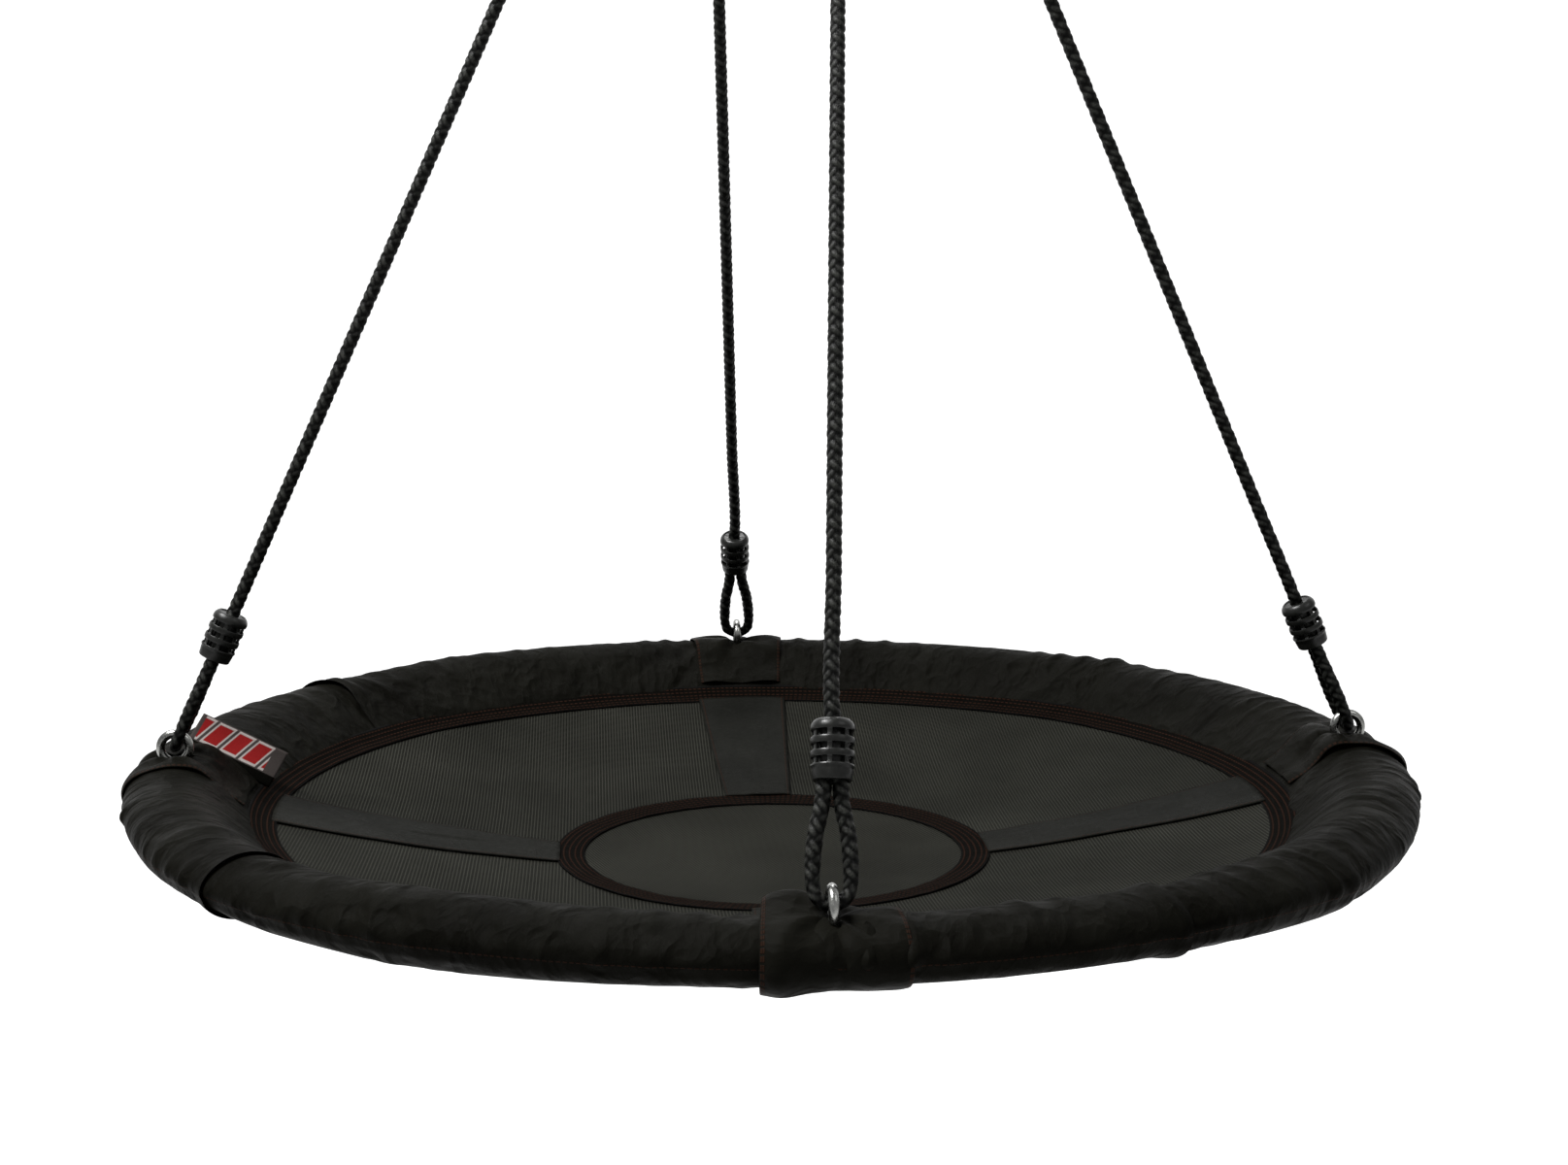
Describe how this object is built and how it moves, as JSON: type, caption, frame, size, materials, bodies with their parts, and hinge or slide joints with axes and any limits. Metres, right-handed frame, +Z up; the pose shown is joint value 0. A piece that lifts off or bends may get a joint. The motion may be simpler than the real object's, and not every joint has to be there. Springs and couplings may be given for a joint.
{
  "type": "nest swing",
  "caption": "Round nest swing: padded black ring with a sagging mesh seat, hung on braided ropes with cage clamps from paired steel rings under a ceiling plate.",
  "frame": {"origin": "centre of the ceiling plate's top face, the face that meets the beam", "axes": "+Z up, out of the plate's top face; +X from hanging ring a to hanging ring b; the four eyes lie at 45, 135, 225 and 315 degrees from +X"},
  "size_m": [1.1196, 1.1196, 1.1819],
  "materials": {
    "nylon": "black coated nylon with a soft sheen, gathered and creased",
    "mesh": "dark grey-green woven textilene mesh",
    "tape": "brown-black woven binding tape with dull red stitching",
    "rope": "black braided polypropylene rope",
    "clamp": "black moulded plastic cage",
    "zinc": "bright zinc plated steel",
    "plate": "zinc plated steel plate",
    "tube": "black painted steel tube",
    "foam": "closed-cell foam",
    "label": "plain woven label with a pale border"
  },
  "bodies": {
    "hanger": {"ceiling_plate": "plate", "plate_bow_a": "plate", "plate_bow_b": "plate"},
    "ring_a": {"hanging_ring_a": "zinc"},
    "ring_b": {"hanging_ring_b": "zinc"},
    "ropes_a": {"rope_left": "rope", "upper_clamp_left": "clamp", "lower_clamp_left": "clamp", "rope_back": "rope", "upper_clamp_back": "clamp", "lower_clamp_back": "clamp"},
    "ropes_b": {"rope_right": "rope", "upper_clamp_right": "clamp", "lower_clamp_right": "clamp", "rope_front": "rope", "upper_clamp_front": "clamp", "lower_clamp_front": "clamp"},
    "seat": {"frame_tube_right": "tube", "joint_sleeve_right": "tube", "foam_right": "foam", "cover_right": "nylon", "collar_right": "nylon", "eye_bolt_right": "zinc", "eye_nut_right": "zinc", "mesh_panel_right": "mesh", "seat_strap_right": "nylon", "frame_tube_back": "tube", "joint_sleeve_back": "tube", "foam_back": "foam", "cover_back": "nylon", "collar_back": "nylon", "eye_bolt_back": "zinc", "eye_nut_back": "zinc", "mesh_panel_back": "mesh", "seat_strap_back": "nylon", "frame_tube_left": "tube", "joint_sleeve_left": "tube", "foam_left": "foam", "cover_left": "nylon", "collar_left": "nylon", "eye_bolt_left": "zinc", "eye_nut_left": "zinc", "mesh_panel_left": "mesh", "seat_strap_left": "nylon", "frame_tube_front": "tube", "joint_sleeve_front": "tube", "foam_front": "foam", "cover_front": "nylon", "collar_front": "nylon", "eye_bolt_front": "zinc", "eye_nut_front": "zinc", "mesh_panel_front": "mesh", "seat_strap_front": "nylon", "outer_tape": "tape", "centre_tape": "tape", "centre_mesh": "mesh", "woven_label": "label"}
  },
  "joints": [
    {"name": "swing_a", "type": "hinge", "parent": "hanger", "child": "ring_a", "pos_m": [-0.08, 0, -0.036], "axis": [1, 0, 0], "range_deg": [-50, 50]},
    {"name": "swing_b", "type": "hinge", "parent": "hanger", "child": "ring_b", "pos_m": [0.08, 0, -0.036], "axis": [1, 0, 0], "range_deg": [-50, 50]},
    {"name": "side_swing_a", "type": "hinge", "parent": "ring_a", "child": "ropes_a", "pos_m": [-0.08, 0, -0.08401], "axis": [0, 1, 0], "range_deg": [-10, 10]},
    {"name": "side_swing_b", "type": "hinge", "parent": "ring_b", "child": "ropes_b", "pos_m": [0.08, 0, -0.08401], "axis": [0, 1, 0], "range_deg": [-10, 10]},
    {"name": "seat_level", "type": "hinge", "parent": "ropes_a", "child": "seat", "pos_m": [-0.35845, 0, -1.05885], "axis": [0, 1, 0], "range_deg": [-2.3, 2.3]}
  ],
  "couplings": [
    {"joint": "swing_b", "follows": "swing_a", "ratio": 1},
    {"joint": "side_swing_b", "follows": "side_swing_a", "ratio": 1},
    {"joint": "seat_level", "follows": "side_swing_a", "ratio": -0.2232}
  ]
}
